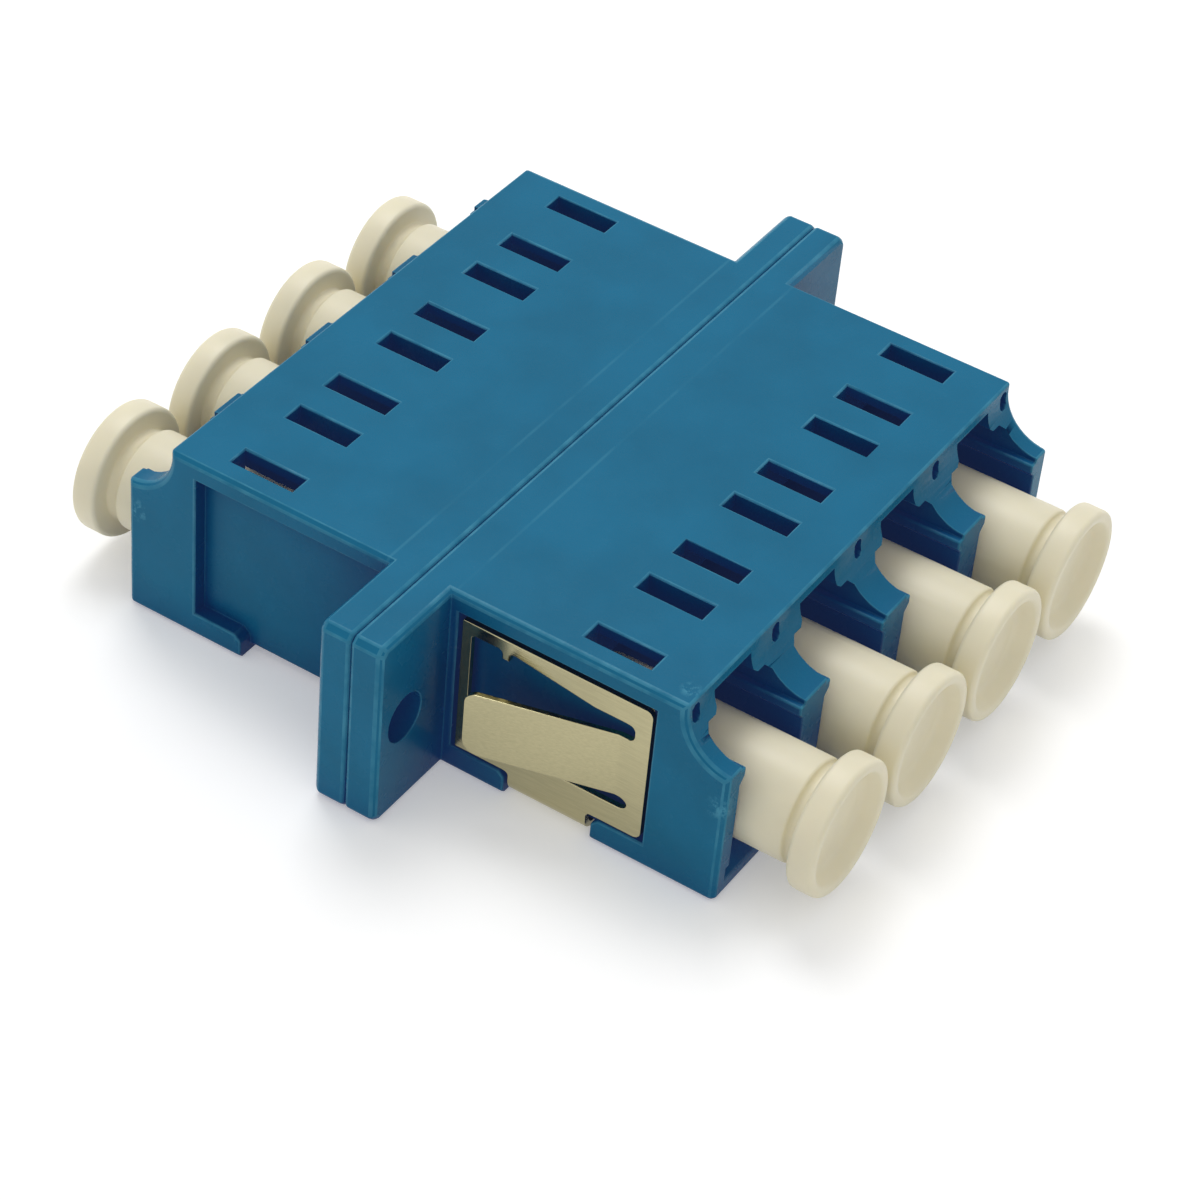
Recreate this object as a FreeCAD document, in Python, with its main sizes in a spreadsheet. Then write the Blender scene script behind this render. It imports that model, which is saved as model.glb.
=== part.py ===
"""Four-port LC fibre adapter with mounting flange, panel spring clip and dust caps.

Row frame in millimetres: X runs along the row of ports, Y along the fibres with the
clip half towards -Y, Z up. The origin is the middle of the underside, in the plane
where the two housing halves meet.
"""
import FreeCAD, Part
import math
import os

import Sketcher

DIMENSIONS = {
    # Housing body and flange
    "body_width": 25.8,        # over the two side walls
    "body_height": 9.2,        # underside to roof
    "roof_reach": 12.35,       # parting plane to the roof's front edge
    "lip_reach": 14.5,         # parting plane to the lower lip's front edge
    "lip_height": 6.65,        # underside to the top of the lower lip
    "relief_radius": 2.21,     # hollow curve from roof edge down to lip
    "flange_length": 35.0,     # over both ears
    "flange_plate": 1.5,       # thickness of one half's flange plate
    "ear_hole_radius": 1.1,
    "ear_hole_span": 31.4,     # between the two ear holes
    "ear_hole_height": 4.6,
    "outer_bevel": 0.2,        # broken outside edges
    "ear_bevel": 0.3,          # corners of the flange's ears, seen from the front
    "weld_bevel": 0.12,        # bevel that leaves the groove between the halves
    "overlap": 0.2,            # cuts that join run this far into each other
    # Ports
    "port_pitch": 6.36,
    "port_count": 4,
    "axis_height": 3.7,        # fibre axis above the underside
    "cavity_half": 2.35,       # half the width and height of the plug cavity
    "ledge_half": 2.03,        # half the gap between the two ledges over the plug
    "ledge_underside": 6.02,
    "ledge_top": 6.45,
    "latch_top": 7.75,         # ceiling of the wide latch channel
    "tab_half": 1.34,          # half width of the narrow channel for the latch tab
    "tab_top": 8.7,            # ceiling of the narrow channel
    "septum": 1.6,             # wall between the cavity and the parting plane
    "latch_end": 6.6,          # inner end of the latch channel
    "channel_bevel": 0.3,      # outer top corners of the wide channel
    "shoulder_bevel": 0.17,    # lower corners of the latch shoulders
    "window_near": 7.0,        # roof windows, distances from the parting plane
    "window_far": 10.05,
    "lead_depth": 0.6,         # sloped lead-in at the port's floor
    "lead_drop": 0.7,
    "lead_side": 0.25,         # lead-in past the cavity's walls
    "core_mark_half": 0.26,    # blind pockets in the wall ends
    "core_mark_bevel": 0.15,
    "core_mark_low": 8.1,
    "core_mark_high": 8.95,
    "core_mark_end": 12.0,
    "side_mark_offset": 12.2,  # marks in the two side walls, from the middle
    # Sleeve holders and sleeves
    "holder_radius": 1.4,
    "holder_reach": 4.1,
    "holder_bore": 0.84,
    "holder_mouth": 0.68,
    "sleeve_radius": 0.8,
    "sleeve_bore": 0.62,
    "sleeve_length": 6.8,
    "sleeve_slit": 0.14,
    "sleeve_play": 0.05,       # free length between the sleeve and each holder lip
    # Recess for the spring clip
    "recess_depth": 0.7,
    "recess_near": 1.85,
    "recess_far": 11.05,
    "recess_low": 1.2,
    "recess_high": 8.3,
    "strap_near": 4.5,
    "strap_far": 8.65,
    "strap_channel": 0.42,     # depth of the channel across the underside
    "foot_bevel": 0.3,         # top corners of the feet beside the strap
    # Spring clip
    "sheet": 0.3,              # steel thickness
    "plate_sink": 0.08,        # clip face below the side wall's outer face
    "plate_near": 2.05,
    "plate_far": 10.9,
    "plate_low": 1.25,
    "plate_high": 8.0,
    "plate_round": 0.35,       # outer corners of the plate
    "frame_near": 2.5,         # inner edge of the frame's leg beside the flange
    "frame_low": 2.4,
    "frame_high": 7.42,        # top of the opening beside the flange
    "frame_waist": 6.88,       # top of the upper slot beside the tab's root
    "waist_start": 8.3,
    "waist_end": 4.6,
    "slot_far": 10.2,          # far ends of the two slots
    "slot_round": 0.28,        # round corners of the upper slot, bevels of the lower one
    "burr_near": 3.95,         # small nib left on the frame's upper edge
    "burr_far": 4.3,
    "burr_low": 7.0,
    "tab_low": 2.97,
    "tab_high": 6.12,
    "tab_root": 9.55,          # bend line of the tab
    "tab_end": 3.4,
    "tab_spread": 1.7,         # how far the tab's free end stands out
    "tab_round_high": 0.45,    # corners of the tab's free end
    "tab_round_low": 0.75,
    "fold_radius": 0.7,        # outer radius of the fold under the body
    "strap_gap_near": 0.12,    # between the strap and its channel, flange side
    "strap_gap_far": 0.28,
    # Dust caps
    "stem_radius": 2.28,
    "cap_length": 12.1,        # over the stem and the disc
    "disc_radius": 2.98,
    "disc_thick": 1.2,
    "dish_radius": 2.3,
    "dish_depth": 0.8,
    "front_cap_face": 18.3,    # front caps' outer faces, from the parting plane
    "rear_cap_face": 17.85,    # the rear caps are pushed in a little further
}

doc = FreeCAD.newDocument("fibre_adapter")
sheet = doc.addObject("Spreadsheet::Sheet", "Sizes")
for row, (alias, value) in enumerate(DIMENSIONS.items(), start=1):
    sheet.set(f"A{row}", alias)
    sheet.set(f"B{row}", str(value))
    sheet.setAlias(f"B{row}", alias)
doc.recompute()


def bound(text):
    """An expression on the sheet, written with the plain aliases."""
    words = sorted(DIMENSIONS, key=len, reverse=True)
    out, index = "", 0
    while index < len(text):
        match = next((w for w in words if text.startswith(w, index)), None)
        out += f"Sizes.{match}" if match else text[index]
        index += len(match) if match else 1
    return out


def value_of(text):
    """The number an expression on the sheet has now."""
    return float(sheet.evalExpression(bound(text).replace("Sizes.", "")))


def new_body(label):
    body = doc.addObject("PartDesign::Body", label)
    body.Label = label
    return body


def origin_feature(body, role):
    return next(item for item in body.Origin.OriginFeatures if item.Role == role)


def new_sketch(body, role, name, offset="0"):
    """A sketch on one of the body's own origin planes, moved along that plane's normal."""
    sketch = body.newObject("Sketcher::SketchObject", name)
    sketch.AttachmentSupport = (origin_feature(body, role), [""])
    sketch.MapMode = "FlatFace"
    if offset != "0":
        sketch.setExpression("AttachmentOffset.Base.z", bound(offset))
    return sketch


def pin_point(sketch, geometry, end, x_text, y_text):
    """Fix one sketch point at two sheet expressions measured from the origin."""
    for kind, axis, text in (("DistanceX", -2, x_text), ("DistanceY", -1, y_text)):
        if text == "0":
            sketch.addConstraint(Sketcher.Constraint("PointOnObject", geometry, end, axis))
        else:
            index = sketch.addConstraint(
                Sketcher.Constraint(kind, -1, 1, geometry, end, value_of(text)))
            sketch.setExpression(f"Constraints[{index}]", bound(text))


def outline(sketch, corners, arcs=None):
    """Draw a closed outline through corners given as pairs of sheet expressions.

    arcs maps a side's number to (radius expression, "ccw" or "cw"); other sides are straight.
    """
    arcs = arcs or {}
    points = [FreeCAD.Vector(value_of(x), value_of(y), 0) for x, y in corners]
    ends = []
    for side, start in enumerate(points):
        finish = points[(side + 1) % len(points)]
        if side in arcs:
            radius_text, turn = arcs[side]
            geometry, start_end = add_arc(sketch, start, finish, radius_text, turn)
        else:
            geometry, start_end = sketch.addGeometry(Part.LineSegment(start, finish), False), 1
        ends.append((geometry, start_end, 3 - start_end))
    for side, (geometry, start_end, _) in enumerate(ends):
        before, _, before_end = ends[side - 1]
        sketch.addConstraint(
            Sketcher.Constraint("Coincident", before, before_end, geometry, start_end))
        pin_point(sketch, geometry, start_end, *corners[side])


def add_arc(sketch, start, finish, radius_text, turn):
    """An arc of under half a turn between two points, with its radius on the sheet."""
    radius = value_of(radius_text)
    chord = finish - start
    across = FreeCAD.Vector(-chord.y, chord.x, 0).normalize()
    height = math.sqrt(max(radius ** 2 - (chord.Length / 2) ** 2, 0))
    centre = start + chord * 0.5 + across * (height if turn == "ccw" else -height)
    angles = [math.atan2(p.y - centre.y, p.x - centre.x) for p in (start, finish)]
    if turn == "cw":
        angles.reverse()
    circle = Part.Circle(centre, FreeCAD.Vector(0, 0, 1), radius)
    geometry = sketch.addGeometry(Part.ArcOfCircle(circle, *angles), False)
    index = sketch.addConstraint(Sketcher.Constraint("Radius", geometry, radius))
    sketch.setExpression(f"Constraints[{index}]", bound(radius_text))
    return geometry, (1 if turn == "ccw" else 2)


def circle(sketch, x_text, y_text, radius_text):
    """A full circle with centre and radius on the sheet."""
    centre = FreeCAD.Vector(value_of(x_text), value_of(y_text), 0)
    geometry = sketch.addGeometry(
        Part.Circle(centre, FreeCAD.Vector(0, 0, 1), value_of(radius_text)), False)
    index = sketch.addConstraint(Sketcher.Constraint("Radius", geometry, value_of(radius_text)))
    sketch.setExpression(f"Constraints[{index}]", bound(radius_text))
    pin_point(sketch, geometry, 3, x_text, y_text)


def rectangle(sketch, left, right, low, high):
    outline(sketch, [(left, low), (right, low), (right, high), (left, high)])


def extrude(body, kind, name, sketch, length, reversed_=False, both=False):
    """A Pad or Pocket of one sketch; a pocket must take material away."""
    before = body.Shape.Volume if body.Tip else 0
    feature = body.newObject(f"PartDesign::{kind}", name)
    feature.Profile = sketch
    feature.Reversed = reversed_
    feature.Midplane = both
    feature.setExpression("Length", bound(length))
    doc.recompute()
    change = feature.Shape.Volume - before
    if change * (1 if kind == "Pad" else -1) <= 0:
        raise RuntimeError(f"{name} changes nothing")
    return feature


def linear_pattern(body, name, features, length, count):
    pattern = body.newObject("PartDesign::LinearPattern", name)
    pattern.Originals = features
    pattern.Direction = (origin_feature(body, "X_Axis"), [""])
    pattern.setExpression("Length", bound(length))
    pattern.setExpression("Occurrences", bound(count))
    body.Tip = pattern
    doc.recompute()
    return pattern


def mirrored(body, name, features):
    mirror = body.newObject("PartDesign::Mirrored", name)
    mirror.Originals = features
    mirror.MirrorPlane = (origin_feature(body, "YZ_Plane"), [""])
    body.Tip = mirror
    doc.recompute()
    return mirror


def dress(body, kind, name, size_text, chosen):
    """Fillet or chamfer the edges of the body whose boxes pass the test chosen."""
    base = body.Tip
    edges = [f"Edge{number}" for number, edge in enumerate(base.Shape.Edges, start=1)
             if chosen(edge.BoundBox)]
    if not edges:
        raise RuntimeError(f"{name} finds no edges")
    feature = body.newObject(f"PartDesign::{kind}", name)
    feature.Base = (base, edges)
    feature.setExpression("Radius" if kind == "Fillet" else "Size", bound(size_text))
    body.Tip = feature
    doc.recompute()
    return feature


def near(number, target):
    return abs(number - target) < 1e-4


def housing_half(label):
    """One moulded half, mouths towards -Y; both halves are the same moulding."""
    body = new_body(label)
    side = new_sketch(body, "YZ_Plane", f"{label}_side")
    outline(side, [("0", "0"), ("0", "body_height"), ("-roof_reach", "body_height"),
                   ("-roof_reach", "lip_height + relief_radius"), ("-lip_reach", "lip_height"),
                   ("-lip_reach", "0")], {3: ("relief_radius", "cw")})
    extrude(body, "Pad", f"{label}_block", side, "body_width", both=True)
    plate = new_sketch(body, "XZ_Plane", f"{label}_flange_face")
    rectangle(plate, "-flange_length / 2", "flange_length / 2", "0", "body_height")
    extrude(body, "Pad", f"{label}_flange", plate, "flange_plate")
    break_edges(body, label)
    cut_clip_recess(body, label)
    cut_ports(body, label)
    cut_ear_holes(body, label)
    return body


def break_edges(body, label):
    """Bevels outside, and the weld bevel round the parting face."""
    reach, width = value_of("lip_reach"), value_of("body_width / 2")
    ear, plate = value_of("flange_length / 2"), value_of("flange_plate")

    def ear_corner(box):
        return near(abs(box.XMin), ear) and near(box.XLength, 0) and near(box.ZLength, 0)

    def outside_edge(box):
        on_side = near(abs(box.XMin), width) and near(box.XLength, 0)
        along_body = on_side and box.YMin < -plate - 1e-4
        under_mouth = near(box.YMin, -reach) and near(box.YLength, 0) and near(box.ZMax, 0)
        on_plate = near(box.YMin, -plate) and near(box.YLength, 0)
        past_body = max(abs(box.XMin), abs(box.XMax)) > width + 1e-4
        return along_body or under_mouth or (on_plate and past_body)

    dress(body, "Chamfer", f"{label}_ear_bevel", "ear_bevel", ear_corner)
    dress(body, "Chamfer", f"{label}_outside_bevel", "outer_bevel", outside_edge)
    dress(body, "Chamfer", f"{label}_weld_bevel", "weld_bevel",
          lambda box: near(box.YMin, 0) and near(box.YLength, 0))


def cut_clip_recess(body, label):
    """Sunk panel in each side wall for the clip, and the strap's channel underneath."""
    side = new_sketch(body, "YZ_Plane", f"{label}_recess_outline", "body_width / 2")
    outline(side, [("-recess_near", "recess_high"), ("-recess_far", "recess_high"),
                   ("-recess_far", "recess_low"), ("-strap_far", "recess_low"),
                   ("-strap_far", "0"), ("-strap_near", "0"),
                   ("-strap_near", "recess_low"), ("-recess_near", "recess_low")])
    recess = extrude(body, "Pocket", f"{label}_recess", side, "recess_depth")
    mirrored(body, f"{label}_recess_pair", [recess])
    under = new_sketch(body, "XY_Plane", f"{label}_strap_outline")
    rectangle(under, "-body_width / 2", "body_width / 2", "-strap_far", "-strap_near")
    extrude(body, "Pocket", f"{label}_strap_channel", under, "strap_channel", reversed_=True)
    depth, floor_height = value_of("recess_depth"), value_of("recess_low")
    strap_edges = (value_of("-strap_near"), value_of("-strap_far"))

    def foot_corner(box):
        across = near(box.XLength, depth) and near(box.YLength, 0) and near(box.ZLength, 0)
        return across and near(box.ZMin, floor_height) and any(
            near(box.YMin, edge) for edge in strap_edges)

    dress(body, "Chamfer", f"{label}_foot_bevels", "foot_bevel", foot_corner)


def cut_ports(body, label):
    """Plug cavities with ledges, latch channels, roof windows and sleeve holders."""
    first = "-(port_count - 1) / 2 * port_pitch"

    def at(text):
        return f"{first} + {text}"

    cavity = new_sketch(body, "XZ_Plane", f"{label}_cavity_outline", "lip_reach")
    outline(cavity, [
        (at("-cavity_half"), "axis_height - cavity_half"),
        (at("cavity_half"), "axis_height - cavity_half"),
        (at("cavity_half"), "ledge_underside - (cavity_half - ledge_half)"),
        (at("ledge_half"), "ledge_underside"),
        (at("-ledge_half"), "ledge_underside"),
        (at("-cavity_half"), "ledge_underside - (cavity_half - ledge_half)")])
    features = [extrude(body, "Pocket", f"{label}_cavity", cavity, "lip_reach - septum")]
    floor_text = "axis_height - cavity_half"
    lead = new_sketch(body, "YZ_Plane", f"{label}_lead_in_side", at("-cavity_half - lead_side"))
    outline(lead, [("-lip_reach", floor_text), ("-lip_reach", f"{floor_text} - lead_drop"),
                   ("-lip_reach + lead_depth", floor_text)])
    features.append(extrude(body, "Pocket", f"{label}_lead_in", lead,
                            "2 * (cavity_half + lead_side)", reversed_=True))
    latch = new_sketch(body, "XZ_Plane", f"{label}_latch_outline", "lip_reach")
    right = [("ledge_half", "ledge_underside - overlap"), ("ledge_half", "ledge_top"),
             ("cavity_half", "ledge_top"), ("cavity_half", "latch_top - channel_bevel"),
             ("cavity_half - channel_bevel", "latch_top"),
             ("tab_half + shoulder_bevel", "latch_top"),
             ("tab_half", "latch_top + shoulder_bevel"), ("tab_half", "tab_top")]
    left = [(f"-({x_text})", z_text) for x_text, z_text in reversed(right)]
    outline(latch, [(at(x_text), z_text) for x_text, z_text in right + left])
    features.append(extrude(body, "Pocket", f"{label}_latch_channel", latch, "lip_reach - latch_end"))
    windows = new_sketch(body, "XY_Plane", f"{label}_window_outline", "body_height")
    rectangle(windows, at("tab_half"), at("cavity_half"), "-window_far", "-window_near")
    rectangle(windows, at("-cavity_half"), at("-tab_half"), "-window_far", "-window_near")
    features.append(extrude(body, "Pocket", f"{label}_windows", windows,
                            "body_height - latch_top + overlap"))
    holder = new_sketch(body, "XZ_Plane", f"{label}_holder_outline")
    circle(holder, first, "axis_height", "holder_radius")
    features.append(extrude(body, "Pad", f"{label}_holder", holder, "holder_reach"))
    seat = new_sketch(body, "XZ_Plane", f"{label}_seat_outline")
    circle(seat, first, "axis_height", "holder_bore")
    features.append(extrude(body, "Pocket", f"{label}_seat", seat,
                            "sleeve_length / 2 + sleeve_play", reversed_=True))
    mouth = new_sketch(body, "XZ_Plane", f"{label}_ferrule_outline", "holder_reach")
    circle(mouth, first, "axis_height", "holder_mouth")
    features.append(extrude(body, "Pocket", f"{label}_ferrule_mouth", mouth, "holder_reach"))
    linear_pattern(body, f"{label}_port_row", features, "port_pitch * (port_count - 1)", "port_count")
    cut_core_marks(body, label)


def cut_core_marks(body, label):
    """Blind upright pockets left by core pins in the hollow end of each wall."""
    marks = new_sketch(body, "XZ_Plane", f"{label}_mark_outline", "lip_reach")
    for middle in ("-side_mark_offset", "-port_pitch", "0", "port_pitch", "side_mark_offset"):
        half = [("core_mark_half - core_mark_bevel", "core_mark_low"),
                ("core_mark_half", "core_mark_low + core_mark_bevel"),
                ("core_mark_half", "core_mark_high - core_mark_bevel"),
                ("core_mark_half - core_mark_bevel", "core_mark_high")]
        outline(marks, [(f"{middle} + {x_text}", z_text) for x_text, z_text in half]
                + [(f"{middle} - ({x_text})", z_text) for x_text, z_text in reversed(half)])
    extrude(body, "Pocket", f"{label}_core_marks", marks, "lip_reach - core_mark_end")


def cut_ear_holes(body, label):
    ears = new_sketch(body, "XZ_Plane", f"{label}_ear_hole_outline", "flange_plate")
    for side in ("-", ""):
        circle(ears, f"{side}ear_hole_span / 2", "ear_hole_height", "ear_hole_radius")
    extrude(body, "Pocket", f"{label}_ear_holes", ears, "flange_plate")


def spring_clip(label):
    """One strip of spring steel folded round the body, with a tab cut and bent from each side."""
    body = new_body(label)
    outer = "body_width / 2 - plate_sink"
    inner = f"{outer} - sheet"
    under = "strap_channel - sheet"
    fold = new_sketch(body, "XZ_Plane", f"{label}_fold", "strap_near + strap_gap_near")
    outline(fold, [
        (f"-({outer})", "plate_low + sheet"), (f"-({outer})", f"{under} + fold_radius"),
        (f"-({outer}) + fold_radius", under), (f"{outer} - fold_radius", under),
        (outer, f"{under} + fold_radius"), (outer, "plate_low + sheet"),
        (inner, "plate_low + sheet"), (inner, f"{under} + fold_radius"),
        (f"{outer} - fold_radius", "strap_channel"), (f"-({outer}) + fold_radius", "strap_channel"),
        (f"-({inner})", f"{under} + fold_radius"), (f"-({inner})", "plate_low + sheet")],
        {1: ("fold_radius", "ccw"), 3: ("fold_radius", "ccw"),
         7: ("fold_radius - sheet", "cw"), 9: ("fold_radius - sheet", "cw")})
    extrude(body, "Pad", f"{label}_strap", fold,
            "strap_far - strap_near - strap_gap_near - strap_gap_far")
    plate = new_sketch(body, "YZ_Plane", f"{label}_plate_outline", outer)
    rectangle(plate, "-plate_far", "-plate_near", "plate_low", "plate_high")
    outline(plate, [
        ("-frame_near", "frame_low"), ("-frame_near", "frame_high"),
        ("-burr_near", "frame_high"), ("-burr_near", "burr_low"), ("-burr_far", "burr_low"),
        ("-burr_far", "frame_high"), ("-waist_end", "frame_high"), ("-waist_start", "frame_waist"),
        ("-slot_far + slot_round", "frame_waist"), ("-slot_far", "frame_waist - slot_round"),
        ("-slot_far", "tab_high + slot_round"), ("-slot_far + slot_round", "tab_high"),
        ("-tab_root", "tab_high"), ("-tab_root", "tab_low"),
        ("-slot_far + slot_round", "tab_low"), ("-slot_far", "tab_low - slot_round"),
        ("-slot_far", "frame_low + slot_round"), ("-slot_far + slot_round", "frame_low")],
        {8: ("slot_round", "ccw"), 10: ("slot_round", "ccw")})
    side = extrude(body, "Pad", f"{label}_plate", plate, "sheet", reversed_=True)
    tab = new_sketch(body, "XY_Plane", f"{label}_tab_edge", "tab_low")
    outline(tab, [(outer, "-tab_root"), (f"{outer} + tab_spread", "-tab_end"),
                  (f"{inner} + tab_spread", "-tab_end"), (inner, "-tab_root")])
    bent = extrude(body, "Pad", f"{label}_tab", tab, "tab_high - tab_low")
    mirrored(body, f"{label}_pair", [side, bent])
    thickness = value_of("sheet")

    def corner_at(y_text, z_text):
        y, z = value_of(y_text), value_of(z_text)
        return lambda box: (near(box.ZLength, 0) and near(box.ZMin, z) and near(box.YMin, y)
                            and near(box.YLength, 0) and near(box.XLength, thickness))

    for end, y_text, z_text, size in (("plate_top", "-plate_far", "plate_high", "plate_round"),
                                      ("plate_foot", "-plate_far", "plate_low", "plate_round"),
                                      ("tab_top", "-tab_end", "tab_high", "tab_round_high"),
                                      ("tab_foot", "-tab_end", "tab_low", "tab_round_low")):
        dress(body, "Fillet", f"{label}_{end}_round", size, corner_at(y_text, z_text))
    return body


def split_sleeve(label, x_text):
    """Ceramic alignment sleeve, slit along its length."""
    body = new_body(label)
    ring = new_sketch(body, "XZ_Plane", f"{label}_ring")
    circle(ring, "0", "0", "sleeve_radius")
    circle(ring, "0", "0", "sleeve_bore")
    extrude(body, "Pad", f"{label}_tube", ring, "sleeve_length", both=True)
    slit = new_sketch(body, "XZ_Plane", f"{label}_slit")
    rectangle(slit, "-sleeve_slit / 2", "sleeve_slit / 2", "0", "sleeve_radius + sleeve_slit")
    extrude(body, "Pocket", f"{label}_slit_cut", slit, "sleeve_length + sleeve_slit", both=True)
    place(body, x_text, "0", 0)
    return body


def dust_cap(label, x_text, face_text, turn):
    """Turned plug: a plain stem and a wider disc with a dished face."""
    body = new_body(label)
    profile = new_sketch(body, "XY_Plane", f"{label}_profile")
    outline(profile, [
        ("0", "dish_depth"), ("dish_radius", "dish_depth"), ("dish_radius", "0"),
        ("disc_radius", "0"), ("disc_radius", "disc_thick"), ("stem_radius", "disc_thick"),
        ("stem_radius", "cap_length"), ("0", "cap_length")])
    turned = body.newObject("PartDesign::Revolution", f"{label}_turned")
    turned.Profile = profile
    turned.ReferenceAxis = (profile, ["V_Axis"])
    turned.Angle = 360
    doc.recompute()
    place(body, x_text, f"-({face_text})", turn)
    return body


def place(body, x_text, y_text, turn):
    """Set a body on the port's axis; turn swings it round Z through the origin."""
    offset = FreeCAD.Vector(value_of(x_text), value_of(y_text), value_of("axis_height"))
    swing = FreeCAD.Rotation(FreeCAD.Vector(0, 0, 1), turn)
    body.Placement = FreeCAD.Placement(swing.multVec(offset), swing)
    sign = "-" if turn else ""
    body.setExpression("Placement.Base.x", bound(f"{sign}({x_text})"))
    body.setExpression("Placement.Base.y", bound(f"{sign}({y_text})"))
    body.setExpression("Placement.Base.z", bound("axis_height"))


def build():
    bodies = [housing_half("housing_front"), housing_half("housing_rear")]
    half_turn = FreeCAD.Rotation(FreeCAD.Vector(0, 0, 1), 180)
    bodies[1].Placement = FreeCAD.Placement(FreeCAD.Vector(0, 0, 0), half_turn)
    bodies.append(spring_clip("panel_clip"))
    for port in range(int(DIMENSIONS["port_count"])):
        x_text = f"({port} - (port_count - 1) / 2) * port_pitch"
        bodies.append(split_sleeve(f"sleeve_{port + 1}", x_text))
        bodies.append(dust_cap(f"front_cap_{port + 1}", x_text, "front_cap_face", 0))
        bodies.append(dust_cap(f"rear_cap_{port + 1}", f"-{x_text}", "rear_cap_face", 180))
    return bodies


def check(bodies):
    """Stop before anything is written if a feature failed or a solid is not sound."""
    doc.recompute()
    for item in doc.Objects:
        if "Invalid" in item.State or "Error" in item.State:
            raise RuntimeError(f"{item.Label} failed: {item.State}")
    for body in bodies:
        shape = body.Shape
        if shape.isNull() or not shape.isValid() or len(shape.Solids) != 1:
            raise RuntimeError(f"{body.Label} is not one sound solid")


def main():
    bodies = build()
    check(bodies)
    os.makedirs("parts", exist_ok=True)
    for body in bodies:
        body.Shape.exportStep(f"parts/{body.Label}.step")
        box = body.Shape.BoundBox
        print(f"{body.Label:16s} volume {body.Shape.Volume:8.2f}  "
              f"x {box.XMin:7.2f} {box.XMax:7.2f}  y {box.YMin:7.2f} {box.YMax:7.2f}  "
              f"z {box.ZMin:6.2f} {box.ZMax:6.2f}")


main()
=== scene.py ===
"""Looks of a four-port LC fibre adapter: blue moulded housing, steel panel clip, ivory dust caps.

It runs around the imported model. Sizes are in metres, in the model's own frame: X along the row
of ports, Y along the fibres with the clip half towards -Y, Z up from the underside.
"""
import math

import bmesh
import bpy
from mathutils import Matrix, Vector
from mathutils.kdtree import KDTree


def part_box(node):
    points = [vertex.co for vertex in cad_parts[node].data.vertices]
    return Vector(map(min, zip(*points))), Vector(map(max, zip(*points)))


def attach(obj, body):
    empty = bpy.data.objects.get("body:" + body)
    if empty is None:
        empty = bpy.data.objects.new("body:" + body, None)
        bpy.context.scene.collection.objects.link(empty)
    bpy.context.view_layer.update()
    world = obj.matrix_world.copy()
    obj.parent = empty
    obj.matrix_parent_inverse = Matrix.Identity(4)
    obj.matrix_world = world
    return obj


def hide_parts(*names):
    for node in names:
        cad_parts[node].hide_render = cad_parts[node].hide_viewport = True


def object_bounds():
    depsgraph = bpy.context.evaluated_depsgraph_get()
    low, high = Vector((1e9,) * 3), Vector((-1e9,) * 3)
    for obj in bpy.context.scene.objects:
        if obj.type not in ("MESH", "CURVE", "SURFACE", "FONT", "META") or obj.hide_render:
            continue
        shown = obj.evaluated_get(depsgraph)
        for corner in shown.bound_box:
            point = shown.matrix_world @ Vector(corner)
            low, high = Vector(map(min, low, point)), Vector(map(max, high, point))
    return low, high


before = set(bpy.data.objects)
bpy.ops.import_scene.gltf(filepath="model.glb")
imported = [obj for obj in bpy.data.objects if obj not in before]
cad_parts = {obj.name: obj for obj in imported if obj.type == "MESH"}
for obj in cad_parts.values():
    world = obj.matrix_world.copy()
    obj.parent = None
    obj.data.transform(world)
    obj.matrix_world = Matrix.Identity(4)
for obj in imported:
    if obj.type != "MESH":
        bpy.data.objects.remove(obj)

bl_info = {
    "name": "Fibre adapter looks",
    "version": (1, 0, 0),
    "blender": (4, 5, 0),
    "location": "View3D > Sidebar > Adapter",
    "description": "Finishes the pieces of a fibre adapter and lights them on a plain floor",
    "category": "Object",
}

MM = 0.001
WELD = 0.001 * MM  # points of a mesh nearer than this are one point
EYE_RAYS = ("Is Camera Ray", "Is Glossy Ray", "Is Transmission Ray")
CAD_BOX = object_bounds()
HOUSINGS = ("housing_front", "housing_rear")
CAPS = tuple(name for name in sorted(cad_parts) if "_cap_" in name)
SLEEVES = tuple(name for name in sorted(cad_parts) if name.startswith("sleeve_"))


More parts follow.
